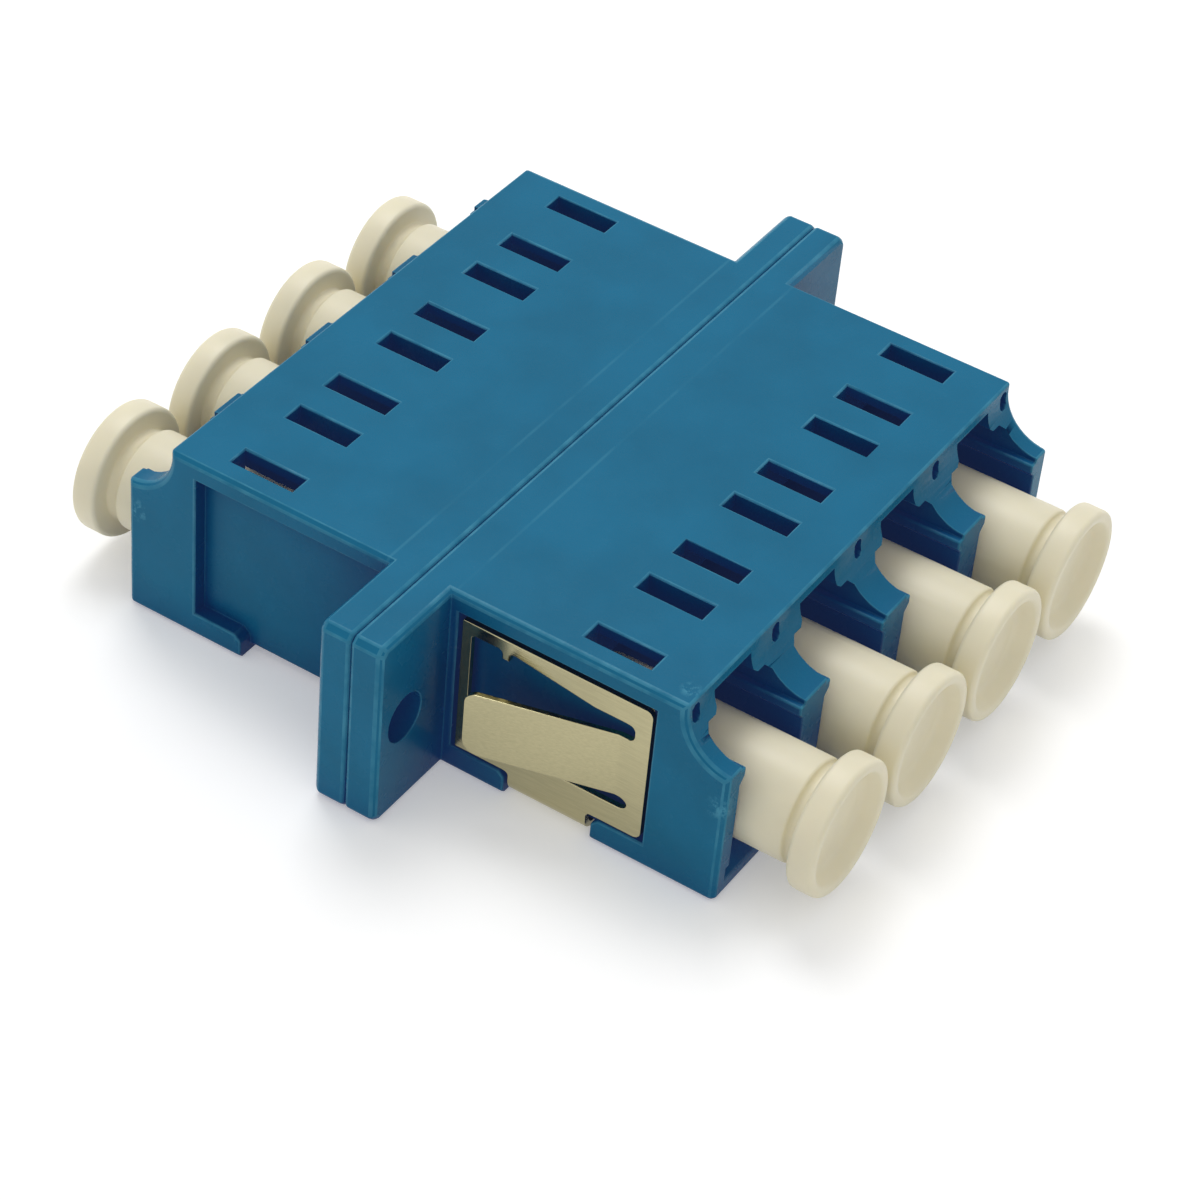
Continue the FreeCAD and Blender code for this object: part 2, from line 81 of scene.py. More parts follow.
class AdapterSizes(bpy.types.PropertyGroup):
    """Edge radii and the turned forms of the dust caps."""

    housing_edge: bpy.props.FloatProperty(
        name="Housing edge", description="Radius on the housing's outward edges",
        default=0.095 * MM, unit="LENGTH")
    housing_corner: bpy.props.FloatProperty(
        name="Housing corner", description="Radius in the housing's inward corners",
        default=0.06 * MM, unit="LENGTH")
    clip_edge: bpy.props.FloatProperty(
        name="Clip edge", description="Rolled radius on the stamped steel's edges",
        default=0.05 * MM, unit="LENGTH")
    cutout_round: bpy.props.FloatProperty(
        name="Cutout rounding", description="Radius in the corners of the clip's openings",
        default=0.19 * MM, unit="LENGTH")
    stem_radius: bpy.props.FloatProperty(
        name="Stem radius", description="Dust cap's plug that fills the port",
        default=2.28 * MM, unit="LENGTH")
    stem_lead: bpy.props.FloatProperty(
        name="Stem lead-in", description="Rounding at the stem's inner end",
        default=0.35 * MM, unit="LENGTH")
    disc_thickness: bpy.props.FloatProperty(
        name="Disc thickness", description="Dust cap's grip disc",
        default=1.2 * MM, unit="LENGTH")
    neck_radius: bpy.props.FloatProperty(
        name="Neck radius", description="Groove between the stem and the disc",
        default=2.04 * MM, unit="LENGTH")
    neck_width: bpy.props.FloatProperty(
        name="Neck width", description="Groove between the stem and the disc",
        default=0.6 * MM, unit="LENGTH")
    dish_rim: bpy.props.FloatProperty(
        name="Dish rim", description="Radius of the disc's dish at its face",
        default=2.5 * MM, unit="LENGTH")
    dish_floor: bpy.props.FloatProperty(
        name="Dish floor", description="Radius of the disc's dish at its floor",
        default=2.05 * MM, unit="LENGTH")
    dish_depth: bpy.props.FloatProperty(
        name="Dish depth", description="From the disc's face to the dish's floor",
        default=0.8 * MM, unit="LENGTH")
    rim_round: bpy.props.FloatProperty(
        name="Rim rounding", description="Radius on the disc's two outer edges",
        default=0.22 * MM, unit="LENGTH")
    seam_height: bpy.props.FloatProperty(
        name="Seam height", description="Mould line that stands along the stem",
        default=0.025 * MM, unit="LENGTH")
    grain_depth: bpy.props.FloatProperty(
        name="Grain depth", description="Depth of the mould's fine grain",
        default=0.006 * MM, unit="LENGTH")
    # Painted glow: the hollows of the blue plastic emit light of this strength, though no lamp is
    # there.
    painted_glow: bpy.props.FloatProperty(
        name="Seep", description="Light that the thin walls let through into the hollows",
        default=0.05)
    # Painted shade: the two reaches below set how far the darkening painted into the blue
    # plastic's hollows and corners spreads.
    hollow_reach: bpy.props.FloatProperty(
        name="Hollow reach", description="How near its walls are where a hollow turns darker",
        default=5.0 * MM, unit="LENGTH")
    corner_reach: bpy.props.FloatProperty(
        name="Corner reach", description="How near its own walls are where a corner turns darker",
        default=9.0 * MM, unit="LENGTH")


class AdapterColours(bpy.types.PropertyGroup):
    """Colours of the finishes, as they look on a screen."""

    housing: bpy.props.FloatVectorProperty(
        name="Housing", description="Blue moulded plastic",
        default=(0.100, 0.424, 0.563), subtype="COLOR_GAMMA", min=0.0, max=1.0)
    # Pale colour of real scuffs and specks, also painted on as a highlight along the mould lines
    # and the housing's rounded outward edges.
    scuff_and_highlight: bpy.props.FloatVectorProperty(
        name="Rubbed edges", description="The same plastic where its edges are rubbed pale",
        default=(0.280, 0.570, 0.680), subtype="COLOR_GAMMA", min=0.0, max=1.0)
    # Painted shade: the blue plastic is painted this darker colour in its hollows and corners.
    hollow_shade: bpy.props.FloatVectorProperty(
        name="Hollows", description="The same plastic where light hardly gets in",
        default=(0.020, 0.190, 0.430), subtype="COLOR_GAMMA", min=0.0, max=1.0)
    # Painted glow: colour of the light that the hollows emit.
    painted_glow_colour: bpy.props.FloatVectorProperty(
        name="Seeping light", description="Colour of light that has come through a wall",
        default=(0.420, 0.540, 0.880), subtype="COLOR_GAMMA", min=0.0, max=1.0)
    cap: bpy.props.FloatVectorProperty(
        name="Cap", description="Ivory moulded plastic",
        default=(0.935, 0.905, 0.795), subtype="COLOR_GAMMA", min=0.0, max=1.0)
    steel: bpy.props.FloatVectorProperty(
        name="Clip", description="Spring steel",
        default=(0.730, 0.700, 0.555), subtype="COLOR_GAMMA", min=0.0, max=1.0)
    ceramic: bpy.props.FloatVectorProperty(
        name="Sleeve", description="White ceramic",
        default=(0.930, 0.930, 0.915), subtype="COLOR_GAMMA", min=0.0, max=1.0)
    floor: bpy.props.FloatVectorProperty(
        name="Floor", description="Paper sweep under the adapter",
        default=(0.960, 0.960, 0.960), subtype="COLOR_GAMMA", min=0.0, max=1.0)


class AdapterStudio(bpy.types.PropertyGroup):
    """Where the camera stands and how strong the lamps are."""

    azimuth: bpy.props.FloatProperty(
        name="Azimuth", description="Camera's bearing, from straight in front towards -X",
        default=math.radians(60.45), subtype="ANGLE")
    elevation: bpy.props.FloatProperty(
        name="Elevation", description="Camera's height above the horizon",
        default=math.radians(40.90), subtype="ANGLE")
    roll: bpy.props.FloatProperty(
        name="Roll", description="Turn of the camera about its own line of sight",
        default=math.radians(5.69), subtype="ANGLE")
    distance: bpy.props.FloatProperty(
        name="Distance", description="From the camera to the point it looks at",
        default=152.9 * MM, unit="LENGTH")
    aim: bpy.props.FloatVectorProperty(
        name="Aim", description="Point the camera looks at",
        default=(-5.12 * MM, -3.70 * MM, 4.60 * MM), subtype="XYZ_LENGTH")
    lens: bpy.props.FloatProperty(
        name="Lens", description="Focal length on a 36 mm sensor, in millimetres", default=112.7)
    key: bpy.props.FloatProperty(
        name="Key", description="Radiance of the softbox overhead", default=5.4)
    fill: bpy.props.FloatProperty(
        name="Fill", description="Brightness of the room round the adapter", default=0.61)
    glow: bpy.props.FloatProperty(
        name="Glow", description="What brings the floor up to white for the eye", default=0.28)


def linear(colour):
    """A screen colour as the shader wants it, off the standard screen curve, with its alpha."""
    def channel(c):
        return c / 12.92 if c <= 0.04045 else ((c + 0.055) / 1.055) ** 2.4

    return (*(channel(c) for c in colour), 1.0)


def shaded(colour, factor):
    """The same screen colour, lighter or darker."""
    return tuple(min(c * factor, 1.0) for c in colour)


def either(tree, *sockets):
    """The largest of several values."""
    largest = sockets[0]
    for socket in sockets[1:]:
        pick = tree.nodes.new("ShaderNodeMath")
        pick.operation = "MAXIMUM"
        tree.links.new(largest, pick.inputs[0])
        tree.links.new(socket, pick.inputs[1])
        largest = pick.outputs[0]
    return largest


def seen_by_eye(tree):
    """1 for the eye, directly or in a mirror or glass, and 0 for light on other things."""
    path = tree.nodes.new("ShaderNodeLightPath")
    return either(tree, *(path.outputs[ray] for ray in EYE_RAYS))


class Finish:
    """A material with one shader, and short calls to wire nodes into it."""

    def __init__(self, name):
        self.material = bpy.data.materials.new(name)
        self.material.use_nodes = True
        self.tree = self.material.node_tree
        self.shader = self.tree.nodes["Principled BSDF"]
        self.place = self.tree.nodes.new("ShaderNodeTexCoord").outputs["Object"]

    def constant(self, **values):
        """Set plain numbers on the shader; an underscore stands for a space."""
        for key, value in values.items():
            self.shader.inputs[key.replace("_", " ")].default_value = value

    def wire(self, source, socket):
        """Link a node's output to a socket."""
        self.tree.links.new(source, socket)

    def stretched(self, scale):
        """Object coordinates, squeezed or drawn out along each axis."""
        mapping = self.tree.nodes.new("ShaderNodeMapping")
        mapping.inputs["Scale"].default_value = scale
        self.wire(self.place, mapping.inputs["Vector"])
        return mapping.outputs["Vector"]

    def noise(self, size, detail=3.0, roughness=0.5, place=None):
        """Noise whose features are about this size across, in metres."""
        noise = self.tree.nodes.new("ShaderNodeTexNoise")
        noise.inputs["Scale"].default_value = 1.0 / size
        noise.inputs["Detail"].default_value = detail
        noise.inputs["Roughness"].default_value = roughness
        self.wire(place or self.place, noise.inputs["Vector"])
        return noise.outputs["Fac"]

    def spread(self, value, low, high, to_low=0.0, to_high=1.0):
        """Stretch a value between two limits over another range."""
        span = self.tree.nodes.new("ShaderNodeMapRange")
        for key, number in (("From Min", low), ("From Max", high),
                            ("To Min", to_low), ("To Max", to_high)):
            span.inputs[key].default_value = number
        self.wire(value, span.inputs["Value"])
        return span.outputs["Result"]

    def blended(self, factor, first, second):
        """A colour between two others, each a tuple or a socket."""
        mix = self.tree.nodes.new("ShaderNodeMix")
        mix.data_type = "RGBA"
        self.wire(factor, mix.inputs["Factor"])
        for socket, colour in ((mix.inputs[6], first), (mix.inputs[7], second)):
            if isinstance(colour, tuple):
                socket.default_value = colour
            else:
                self.wire(colour, socket)
        return mix.outputs[2]

    def math(self, operation, first, second=0.0):
        """One sum on two values, each a number or a socket."""
        node = self.tree.nodes.new("ShaderNodeMath")
        node.operation = operation
        for socket, value in zip(node.inputs, (first, second)):
            if isinstance(value, float):
                socket.default_value = value
            else:
                self.wire(value, socket)
        return node.outputs[0]

    def line(self, axis, place, width):
        """1 along the planes at this distance either side of the middle, falling to 0 beside."""
        parts = self.tree.nodes.new("ShaderNodeSeparateXYZ")
        self.wire(self.place, parts.inputs["Vector"])
        away = self.math("SUBTRACT", self.math("ABSOLUTE", parts.outputs[axis]), place)
        return self.spread(self.math("ABSOLUTE", away), width / 4, width / 2, 1.0, 0.0)

    def near(self, place, low, high):
        """1 within a distance of a point, falling to 0 at a second one."""
        away = self.tree.nodes.new("ShaderNodeVectorMath")
        away.operation = "DISTANCE"
        away.inputs[1].default_value = place
        self.wire(self.place, away.inputs[0])
        return self.spread(away.outputs["Value"], low, high, 1.0, 0.0)

    def specks(self, spacing, size):
        """1 on a few small spots strewn about, where a scattered point lies at the surface."""
        cells = self.tree.nodes.new("ShaderNodeTexVoronoi")
        cells.inputs["Scale"].default_value = 1.0 / spacing
        self.wire(self.place, cells.inputs["Vector"])
        reach = size / 2 / spacing
        return self.spread(cells.outputs["Distance"], 0.5 * reach, reach, 1.0, 0.0)

    def openness(self, reach, own=False):
        """1 where the surface lies open, down to 0 where walls stand close round it.

        With own, only the piece's own walls count.
        """
        hollow_shade = self.tree.nodes.new("ShaderNodeAmbientOcclusion")
        hollow_shade.samples = 5
        hollow_shade.only_local = own
        hollow_shade.inputs["Distance"].default_value = reach
        return hollow_shade.outputs["AO"]

    def relief(self, height, depth, before=None):
        """Raise the surface by up to this depth, over an earlier relief if there is one."""
        bump = self.tree.nodes.new("ShaderNodeBump")
        bump.inputs["Distance"].default_value = depth
        self.wire(height, bump.inputs["Height"])
        if before:
            self.wire(before, bump.inputs["Normal"])
        return bump.outputs["Normal"]


CLIP_TAB_REACH = 1.6 * MM  # how far the clip's tabs stand out from the body's sides


def scuffs_and_line_highlight(finish):
    """1 where the blue plastic is scuffed pale at a few corners and strewn specks, and along the
    mould lines, where a highlight is painted.
    """
    front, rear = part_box("housing_front")[0].y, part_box("housing_rear")[1].y
    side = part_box("panel_clip")[0].x + CLIP_TAB_REACH
    # Each knock is its place, the radius within which it is palest, and the one where it ends.
    knocks = (
        ((side, rear - 0.5 * MM, 5.3 * MM), 0.20 * MM, 0.70 * MM),
        ((side, rear - 5.8 * MM, 1.1 * MM), 0.15 * MM, 0.50 * MM),
        ((side, front + 0.2 * MM, 5.0 * MM), 0.20 * MM, 0.80 * MM),
        ((side + 1.0 * MM, front + 2.6 * MM, CAD_BOX[1].z), 0.15 * MM, 0.50 * MM),
    )
    knocked = either(finish.tree, *(finish.near(*knock) for knock in knocks))
    scratched = finish.spread(finish.noise(0.35 * MM, detail=5.0, roughness=0.7), 0.50, 0.58)
    scuffs = finish.math("MULTIPLY", knocked, scratched)
    patches = finish.spread(finish.noise(3.0 * MM, detail=4.0), 0.45, 0.60, 0.05, 0.30)
    # Painted highlight: a pale line in patches along the mould lines across the body.
    mould_line = finish.line("Y", place=1.6 * MM, width=0.16 * MM)
    mould_line_highlight = finish.math("MULTIPLY", mould_line, patches)
    return either(finish.tree, scuffs, mould_line_highlight, finish.specks(spacing=5.0 * MM, size=0.22 * MM))


def moulded_plastic(name, colours, sizes, scuff_and_highlight=0.0):
    """Blue moulded plastic: faint flow mottling, fine grain, satin gloss and pale scuffs, with
    painted highlights on the mould lines and, with scuff_and_highlight, on the edges, and painted
    shade and a painted glow in the hollows.
    """
    finish = Finish(name)
    mottle = finish.spread(finish.noise(3.5 * MM, detail=4.0), 0.35, 0.65)
    blue = finish.blended(mottle, linear(shaded(colours.housing, 0.97)),
                          linear(shaded(colours.housing, 1.03)))
    scuffs_and_highlights = scuffs_and_line_highlight(finish)
    # Painted highlight: the edge material is painted pale in noisy patches over all its faces.
    if scuff_and_highlight:
        highlight_breakup = finish.noise(0.9 * MM, detail=4.0)
        scuffs_and_highlights = either(finish.tree, scuffs_and_highlights,
                       finish.spread(highlight_breakup, 0.35, 0.65, 0.35 * scuff_and_highlight, scuff_and_highlight))
    blue = finish.blended(scuffs_and_highlights, blue, linear(colours.scuff_and_highlight))
    # Painted shade: where walls stand close round the surface, the base colour turns to the
    # hollow colour, and lit is the share of the base colour that is left.
    openness = finish.openness(sizes.hollow_reach)
    corners = finish.openness(sizes.corner_reach, own=True)
    lit = finish.math("MULTIPLY", finish.spread(openness, low=0.22, high=0.54),
                      finish.spread(corners, 0.55, 0.90, 0.25, 1.0))
    finish.wire(finish.blended(lit, linear(colours.hollow_shade), blue),
                finish.shader.inputs["Base Color"])
    # Painted glow: the deepest hollows emit light.
    finish.wire(finish.spread(openness, 0.1, 0.6, sizes.painted_glow, 0.0),
                finish.shader.inputs["Emission Strength"])
    finish.wire(finish.spread(finish.noise(1.2 * MM), 0.3, 0.7, 0.22, 0.30),
                finish.shader.inputs["Roughness"])
    sink = finish.relief(finish.noise(4.0 * MM, detail=1.0), 0.02 * MM)
    grain = finish.relief(finish.noise(0.12 * MM, detail=2.0), sizes.grain_depth, sink)
    finish.wire(grain, finish.shader.inputs["Normal"])
    finish.constant(Specular_IOR_Level=0.08, Emission_Color=linear(colours.painted_glow_colour))
    return finish.material


def soft_ivory(colours):
    """Ivory polythene: a little light goes in and comes out again."""
    finish = Finish("cap_ivory")
    cloud = finish.spread(finish.noise(2.5 * MM, detail=3.0), 0.3, 0.7)
    finish.wire(finish.blended(cloud, linear(shaded(colours.cap, 0.98)),
                               linear(shaded(colours.cap, 1.01))),
                finish.shader.inputs["Base Color"])
    finish.constant(Subsurface_Weight=0.25, Subsurface_Scale=0.6 * MM, Roughness=0.42,
                    Subsurface_Radius=(1.0, 0.9, 0.6))
    waves = finish.relief(finish.noise(1.6 * MM, detail=2.0), 0.02 * MM)
    finish.wire(waves, finish.shader.inputs["Normal"])
    return finish.material


def rolled_steel(colours):
    """Spring steel strip, with the fine streaks that the rolls leave along it."""
    finish = Finish("spring_steel")
    streaks = finish.noise(0.05 * MM, detail=3.0, place=finish.stretched((1.0, 0.05, 1.0)))
    finish.wire(finish.blended(finish.spread(streaks, 0.3, 0.7),
                               linear(shaded(colours.steel, 0.94)), linear(colours.steel)),
                finish.shader.inputs["Base Color"])
    finish.wire(finish.spread(streaks, 0.3, 0.7, 0.12, 0.18), finish.shader.inputs["Roughness"])
    finish.wire(finish.relief(streaks, 0.003 * MM), finish.shader.inputs["Normal"])
    finish.constant(Metallic=1.0)
    return finish.material


def polished_ceramic(colours):
    """White zirconia, ground smooth."""
    finish = Finish("zirconia")
    finish.wire(finish.blended(finish.noise(0.6 * MM), linear(shaded(colours.ceramic, 0.98)),
                               linear(colours.ceramic)), finish.shader.inputs["Base Color"])
    finish.constant(Roughness=0.15)
    return finish.material


def give(piece, *materials):
    """Dress a piece in these materials and drop what it had."""
    piece.data.materials.clear()
    for material in materials:
        piece.data.materials.append(material)


def linked(name, data):
    """A new object in the scene, with this mesh, lamp or camera as its data."""
    thing = bpy.data.objects.new(name, data)
    bpy.context.scene.collection.objects.link(thing)
    return thing


def welded_copy(node, name):
    """A new piece from a CAD node: its loose triangles joined into whole flat faces."""
    mesh = node.data.copy()
    mesh.name = name
    solid = bmesh.new()
    solid.from_mesh(mesh)
    bmesh.ops.remove_doubles(solid, verts=solid.verts, dist=WELD)
    bmesh.ops.dissolve_limit(solid, angle_limit=math.radians(1.0), verts=solid.verts,
                             edges=solid.edges)
    solid.to_mesh(mesh)
    solid.free()
    return linked(name, mesh)


SAME_WAY = 0.85  # cosine above which one edge carries on along another
ROOM_SHARE = 0.45  # part of the room beside an edge that its rounding may take
SHARPEST_TURN = math.radians(120.0)  # faces that turn more than this double back
SLIVER = 1e-4 * MM ** 2  # faces smaller than this are too small to count as folded
SETTLING_ROUNDS = 12  # at most this many tries to get rid of the folds
NARROWER = 0.6  # what each round leaves of the rounding beside a fold
NARROWEST = 0.15  # weight below which that rounding is left out
FOLD_REACH = 1.8  # how far from a fold the rounding gets narrower, in widths of the full one


def room_beside(edge):
    """How far both faces and the crossing edges reach away from this edge, at their nearest."""
    first, second = (vert.co for vert in edge.verts)
    along = (second - first).normalized()
    room = []
    for face in edge.link_faces:
        room.append(max((vert.co - first).cross(along).length for vert in face.verts))
    for vert in edge.verts:
        for other in vert.link_edges:
            run = other.other_vert(vert).co - vert.co
            if other is not edge and abs(run.normalized().dot(along)) < SAME_WAY:
                room.append(run.length)
    return min(room)


def weigh_edges(mesh, width, angle):
    """Note on each sharp edge how much of the full rounding it has room for.

    Edges that stand out and edges in corners are kept in two attributes of their own.
    """
    solid = bmesh.new()
    solid.from_mesh(mesh)
    layers = {kind: solid.edges.layers.float.new(kind) for kind in ("outward", "inward")}
    for edge in solid.edges:
        if len(edge.link_faces) == 2 and edge.calc_face_angle() > angle:
            kind = "outward" if edge.is_convex else "inward"
            edge[layers[kind]] = min(1.0, ROOM_SHARE * room_beside(edge) / width)
    solid.to_mesh(mesh)
    solid.free()


def folded_places(piece):
    """Where the piece's finished surface doubles back on itself."""
    shape = bmesh.new()
    shape.from_object(piece, bpy.context.evaluated_depsgraph_get())
    bmesh.ops.triangulate(shape, faces=shape.faces)
    places = []
    for edge in shape.edges:
        if len(edge.link_faces) == 2 and edge.calc_face_angle() > SHARPEST_TURN:
            if min(face.calc_area() for face in edge.link_faces) > SLIVER:
                places.append((edge.verts[0].co + edge.verts[1].co) / 2)
    shape.free()
    return places


def settle_rounding(piece, reach):
    """Narrow the rounding beside each fold, and leave it out where it gets very narrow."""
    mesh = piece.data
    for _ in range(SETTLING_ROUNDS):
        places = folded_places(piece)
        if not places:
            break
        tree = KDTree(len(places))
        for number, place in enumerate(places):
            tree.insert(place, number)
        tree.balance()
        for edge in mesh.edges:
            if any(tree.find(mesh.vertices[end].co)[2] < reach for end in edge.vertices):
                for kind in ("outward", "inward"):
                    weight = mesh.attributes[kind].data[edge.index]
                    weight.value = weight.value * NARROWER if weight.value > NARROWEST else 0.0
        mesh.update()
        bpy.context.view_layer.update()


def soften(piece, outward, inward, angle, highlit_edges=-1):
    """Round the outward edges and the corners; highlit_edges is the material slot of the outward
    ones, which carry a painted highlight.
    """
    weigh_edges(piece.data, outward, angle)
    for kind, width, slot in (("outward", outward, highlit_edges), ("inward", inward, -1)):
        bevel = piece.modifiers.new(f"Round {kind} edges", "BEVEL")
        bevel.width = width
        bevel.segments = 3
        bevel.limit_method = "WEIGHT"
        bevel.edge_weight = kind
        bevel.harden_normals = True
        bevel.use_clamp_overlap = False
        bevel.material = slot
    settle_rounding(piece, FOLD_REACH * outward)
    flat = piece.modifiers.new("Keep faces flat", "WEIGHTED_NORMAL")
    flat.keep_sharp = True
    for face in piece.data.polygons:
        face.use_smooth = True
    piece.data.set_sharp_from_angle(angle=angle)


class ADAPTER_OT_housings(bpy.types.Operator):
    """Round the edges of the two housing halves and give them their plastic"""

    bl_idname = "adapter.housings"
    bl_label = "Housing halves"

    def execute(self, context):
        sizes = context.scene.adapter_sizes
        colours = context.scene.adapter_colours
        plastic = moulded_plastic("housing_blue", colours, sizes)
        # The rounded outward edges get a second material with a painted highlight.
        highlit_edges = moulded_plastic("housing_blue_highlit_edges", colours, sizes, scuff_and_highlight=0.75)
        for name in HOUSINGS:
            piece = welded_copy(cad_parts[name], f"{name}_shell")
            soften(piece, sizes.housing_edge, sizes.housing_corner, angle=math.radians(25.0),
                   highlit_edges=1)
            give(piece, plastic, highlit_edges)
            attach(piece, "adapter")
            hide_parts(name)
        return {"FINISHED"}


SHORTEST_SIDE = 0.02 * MM  # sides of an opening shorter than this are drawn into a point
THICKEST_SHEET = 0.35 * MM  # edges longer than this don't go through the sheet
STRAIGHT_THROUGH = 0.99  # cosine between X and an edge that goes through an upright plate
SLIGHTEST_CORNER = math.radians(40.0)


def ease_cutouts(mesh, radius):
    """Round the corners of the openings cut in the sheet, as the stamping punch leaves them."""
    sheet = bmesh.new()
    sheet.from_mesh(mesh)
    bmesh.ops.remove_doubles(sheet, verts=sheet.verts, dist=SHORTEST_SIDE)
    corners = []
    for edge in sheet.edges:
        across = edge.verts[1].co - edge.verts[0].co
        along_x = abs(across.normalized().x) > STRAIGHT_THROUGH
        through = along_x and across.length < THICKEST_SHEET
        if through and not edge.is_convex and edge.calc_face_angle() > SLIGHTEST_CORNER:
            corners.append(edge)
    bmesh.ops.bevel(sheet, geom=corners, offset=radius, offset_type="OFFSET", segments=4,
                    profile=0.5, affect="EDGES", clamp_overlap=True, material=-1)
    sheet.to_mesh(mesh)
    sheet.free()


class ADAPTER_OT_clip(bpy.types.Operator):
    """Roll the edges of the panel clip and give it its steel"""

    bl_idname = "adapter.clip"
    bl_label = "Panel clip"

    def execute(self, context):
        sizes = context.scene.adapter_sizes
        piece = welded_copy(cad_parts["panel_clip"], "panel_clip_sheet")
        ease_cutouts(piece.data, sizes.cutout_round)
        soften(piece, sizes.clip_edge, sizes.clip_edge, angle=math.radians(30.0))
        give(piece, rolled_steel(context.scene.adapter_colours))
        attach(piece, "adapter")
        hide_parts("panel_clip")
        return {"FINISHED"}


class ADAPTER_OT_sleeves(bpy.types.Operator):
    """Give the alignment sleeves their ceramic"""

    bl_idname = "adapter.sleeves"
    bl_label = "Sleeves"

    def execute(self, context):
        ceramic = polished_ceramic(context.scene.adapter_colours)
        for name in SLEEVES:
            give(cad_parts[name], ceramic)
        return {"FINISHED"}


TURNING_STEPS = 96
LONGEST_SPAN = 3.0 * MM  # profile lines longer than this are divided, so shading stays even


def turned(profile, seam_height, seam_turn, seam_span):
    """A closed solid spun round the Y axis.

    The profile lists (radius, place along the axis, rounding) from the axis round to the axis.
    A pair of mould lines stands out along seam_span, at seam_turn from the X axis.
    """
    solid = bmesh.new()
    corners = [solid.verts.new((radius, along, 0.0)) for radius, along, _ in profile]
    for first, second in zip(corners, corners[1:]):
        solid.edges.new((first, second))
    for corner, (_, _, rounding) in zip(corners, profile):
        if rounding:
            bmesh.ops.bevel(solid, geom=[corner], offset=rounding, offset_type="OFFSET",
                            segments=4, profile=0.5, affect="VERTICES", material=-1)
    long_lines = [edge for edge in solid.edges if edge.calc_length() > LONGEST_SPAN]
    bmesh.ops.subdivide_edges(solid, edges=long_lines, cuts=5)
    bmesh.ops.spin(solid, geom=solid.verts[:] + solid.edges[:], cent=(0.0, 0.0, 0.0),
                   axis=(0.0, 1.0, 0.0), angle=2.0 * math.pi, steps=TURNING_STEPS,
                   use_merge=True)
    bmesh.ops.remove_doubles(solid, verts=solid.verts, dist=WELD)
    bmesh.ops.recalc_face_normals(solid, faces=solid.faces)
    low, high = seam_span
    for vert in solid.verts:
        out = Vector((vert.co.x, 0.0, vert.co.z))
        turn = (math.atan2(vert.co.z, vert.co.x) - seam_turn) % math.pi
        on_line = min(turn, math.pi - turn) < math.pi / TURNING_STEPS
        if on_line and low < vert.co.y < high and out.length > 0.0:
            vert.co += out.normalized() * seam_height
    return solid


def cap_profile(sizes, disc, neck_end, length):
    """A dust cap's outline for turning, from the dish in its face to the stem's inner end."""
    dish_floor_round = 0.3 * MM
    dish_mouth_round = 0.14 * MM
    disc_root_round = 0.12 * MM
    neck_slope = 0.1 * MM
    neck_round = 0.15 * MM
    shoulder_round = 0.1 * MM
    return [
        (0.0, sizes.dish_depth, 0.0),
        (sizes.dish_floor, sizes.dish_depth, dish_floor_round),
        (sizes.dish_rim, 0.0, dish_mouth_round),
        (disc, 0.0, sizes.rim_round),
        (disc, sizes.disc_thickness, sizes.rim_round),
        (sizes.neck_radius, sizes.disc_thickness, disc_root_round),
        (sizes.neck_radius, neck_end - neck_slope, neck_round),
        (sizes.stem_radius, neck_end, shoulder_round),
        (sizes.stem_radius, length, sizes.stem_lead),
        (0.0, length, 0.0),
    ]


SEAM_START = 0.3 * MM  # from the neck to the mould lines on the stem
SEAM_END = 0.8 * MM  # from those lines to the stem's inner end
FIRST_SEAM_TURN = 25.0  # degrees from the X axis to the first cap's lines
NEXT_SEAM_TURN = 47.0  # degrees more for each cap after it


class ADAPTER_OT_caps(bpy.types.Operator):
    """Turn the dust caps' discs, necks and stems and give them their plastic"""

    bl_idname = "adapter.caps"
    bl_label = "Dust caps"

    def execute(self, context):
        sizes = context.scene.adapter_sizes
        ivory = soft_ivory(context.scene.adapter_colours)
        for number, name in enumerate(CAPS):
            low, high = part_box(name)
            length, disc = high.y - low.y, (high.x - low.x) / 2
            neck_end = sizes.disc_thickness + sizes.neck_width
            seam_turn = math.radians(FIRST_SEAM_TURN + NEXT_SEAM_TURN * number)
            seam_span = (neck_end + SEAM_START, length - SEAM_END)
            solid = turned(cap_profile(sizes, disc, neck_end, length), sizes.seam_height,
                           seam_turn, seam_span)
            front = name.startswith("front")
            middle = Vector(((low.x + high.x) / 2, low.y if front else high.y,
                             (low.z + high.z) / 2))
            turn = Matrix.Rotation(0.0 if front else math.pi, 4, "Z")
            solid.transform(Matrix.Translation(middle) @ turn)
            mesh = bpy.data.meshes.new(f"{name}_plug")
            solid.to_mesh(mesh)
            solid.free()
            for face in mesh.polygons:
                face.use_smooth = True
            mesh.set_sharp_from_angle(angle=math.radians(40.0))
            piece = linked(f"{name}_plug", mesh)
            give(piece, ivory)
            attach(piece, name)
            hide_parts(name)
        return {"FINISHED"}


def paper(colours, glow):
    """Matt white paper; to the eye it is a little brighter than the light makes it."""
    finish = Finish("floor_paper")
    finish.wire(finish.blended(finish.noise(8.0 * MM), linear(shaded(colours.floor, 0.995)),
                               linear(colours.floor)), finish.shader.inputs["Base Color"])
    finish.constant(Roughness=0.9, Specular_IOR_Level=0.1, Emission_Color=(1.0, 1.0, 1.0, 1.0))
    finish.wire(finish.spread(seen_by_eye(finish.tree), 0.0, 1.0, 0.0, glow),
                finish.shader.inputs["Emission Strength"])
    return finish.material


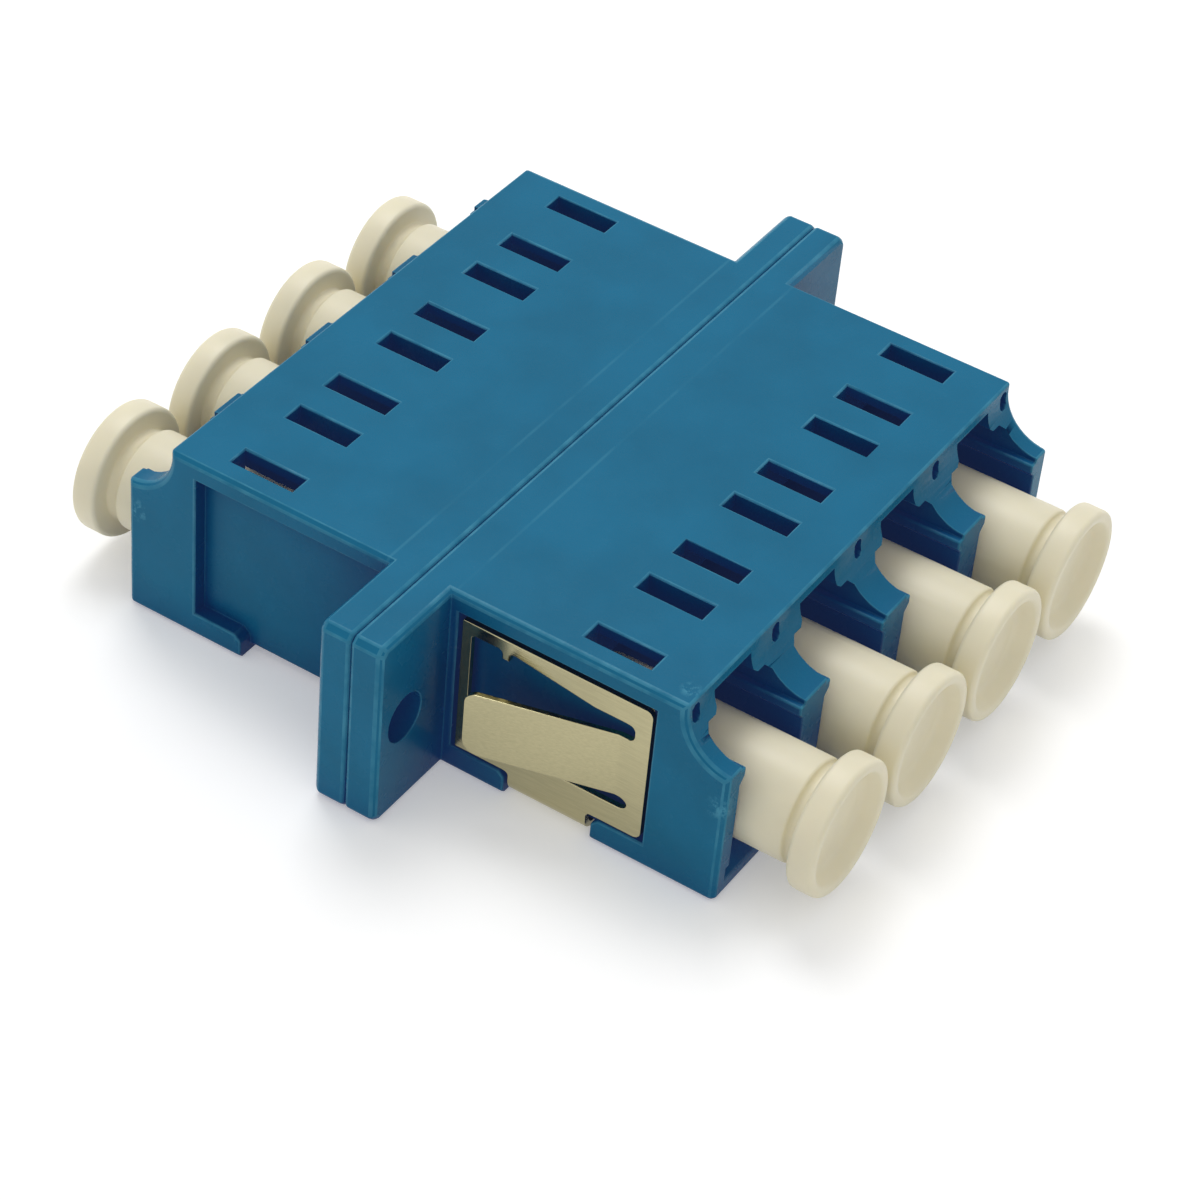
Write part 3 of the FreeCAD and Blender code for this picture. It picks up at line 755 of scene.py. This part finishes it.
def white_room(scene, fill):
    """Soft light from all round, and plain white where the camera or a mirror looks past."""
    world = bpy.data.worlds.new("room")
    world.use_nodes = True
    tree = world.node_tree
    light = tree.nodes["Background"]
    seen = tree.nodes.new("ShaderNodeBackground")
    mix = tree.nodes.new("ShaderNodeMixShader")
    for background, strength in ((light, fill), (seen, 1.0)):
        background.inputs["Color"].default_value = (1.0, 1.0, 1.0, 1.0)
        background.inputs["Strength"].default_value = strength
    tree.links.new(seen_by_eye(tree), mix.inputs["Fac"])
    tree.links.new(light.outputs[0], mix.inputs[1])
    tree.links.new(seen.outputs[0], mix.inputs[2])
    tree.links.new(mix.outputs[0], tree.nodes["World Output"].inputs["Surface"])
    scene.world = world


def softbox(name, size, radiance, place, target):
    """A square lamp that faces a point."""
    data = bpy.data.lights.new(name, "AREA")
    data.shape = "SQUARE"
    data.size = size
    data.energy = radiance * math.pi * size ** 2
    lamp = linked(name, data)
    lamp.location = place
    lamp.rotation_mode = "QUATERNION"
    lamp.rotation_quaternion = (target - place).to_track_quat("-Z", "Y")


def studio_camera(scene, studio):
    """The camera at its bearing, height and roll about the point it looks at."""
    swing, lift = studio.azimuth, studio.elevation
    back = Vector((-math.sin(swing) * math.cos(lift), -math.cos(swing) * math.cos(lift),
                   math.sin(lift)))
    data = bpy.data.cameras.new("camera")
    data.sensor_width = 36.0
    data.lens = studio.lens
    data.clip_start, data.clip_end = 1.0 * MM, 10.0
    camera = linked("camera", data)
    camera.rotation_mode = "QUATERNION"
    camera.location = Vector(studio.aim) + back * studio.distance
    level = (-back).to_track_quat("-Z", "Y")
    turn = Matrix.Rotation(studio.roll, 4, "Z").to_quaternion()
    camera.rotation_quaternion = level @ turn
    scene.camera = camera


FLOOR_GAP = 0.02 * MM  # between the floor and the lowest point of the adapter
FLOOR_REACH = 1.0  # from the floor's middle to its sides
SOFTBOX_SIZE = 0.15
SOFTBOX_PLACE = Vector((0.10, 0.10, 0.29))  # from the adapter's middle


class ADAPTER_OT_stage(bpy.types.Operator):
    """Lay the floor, light the room and stand the camera"""

    bl_idname = "adapter.stage"
    bl_label = "Stage"

    def execute(self, context):
        scene, studio = context.scene, context.scene.adapter_studio
        mesh = bpy.data.meshes.new("floor")
        plane = bmesh.new()
        bmesh.ops.create_grid(plane, x_segments=1, y_segments=1, size=FLOOR_REACH)
        plane.to_mesh(mesh)
        plane.free()
        mesh.transform(Matrix.Translation((0.0, 0.0, CAD_BOX[0].z - FLOOR_GAP)))
        floor = linked("floor", mesh)
        give(floor, paper(scene.adapter_colours, studio.glow))
        white_room(scene, studio.fill)
        middle = (CAD_BOX[0] + CAD_BOX[1]) / 2
        softbox("overhead_softbox", SOFTBOX_SIZE, studio.key, middle + SOFTBOX_PLACE, middle)
        studio_camera(scene, studio)
        scene.view_settings.view_transform = "Standard"
        return {"FINISHED"}


class ADAPTER_PT_panel(bpy.types.Panel):
    """Sidebar tab with the adapter's steps and sizes"""

    bl_idname = "ADAPTER_PT_panel"
    bl_label = "Fibre adapter"
    bl_space_type = "VIEW_3D"
    bl_region_type = "UI"
    bl_category = "Adapter"

    def draw(self, context):
        scene = context.scene
        for step in STEPS:
            self.layout.operator(step.bl_idname)
        for settings in (scene.adapter_sizes, scene.adapter_colours, scene.adapter_studio):
            column = self.layout.column(align=True)
            for name in settings.__annotations__:
                column.prop(settings, name)


GROUPS = (AdapterSizes, AdapterColours, AdapterStudio)
STEPS = (ADAPTER_OT_housings, ADAPTER_OT_clip, ADAPTER_OT_sleeves, ADAPTER_OT_caps,
         ADAPTER_OT_stage)


def register():
    for item in (*GROUPS, *STEPS, ADAPTER_PT_panel):
        bpy.utils.register_class(item)
    bpy.types.Scene.adapter_sizes = bpy.props.PointerProperty(type=AdapterSizes)
    bpy.types.Scene.adapter_colours = bpy.props.PointerProperty(type=AdapterColours)
    bpy.types.Scene.adapter_studio = bpy.props.PointerProperty(type=AdapterStudio)


def unregister():
    del bpy.types.Scene.adapter_studio
    del bpy.types.Scene.adapter_colours
    del bpy.types.Scene.adapter_sizes
    for item in reversed((*GROUPS, *STEPS, ADAPTER_PT_panel)):
        bpy.utils.unregister_class(item)


def main():
    register()
    bpy.ops.adapter.housings()
    bpy.ops.adapter.clip()
    bpy.ops.adapter.sleeves()
    bpy.ops.adapter.caps()
    bpy.ops.adapter.stage()


if __name__ == "__main__":
    main()
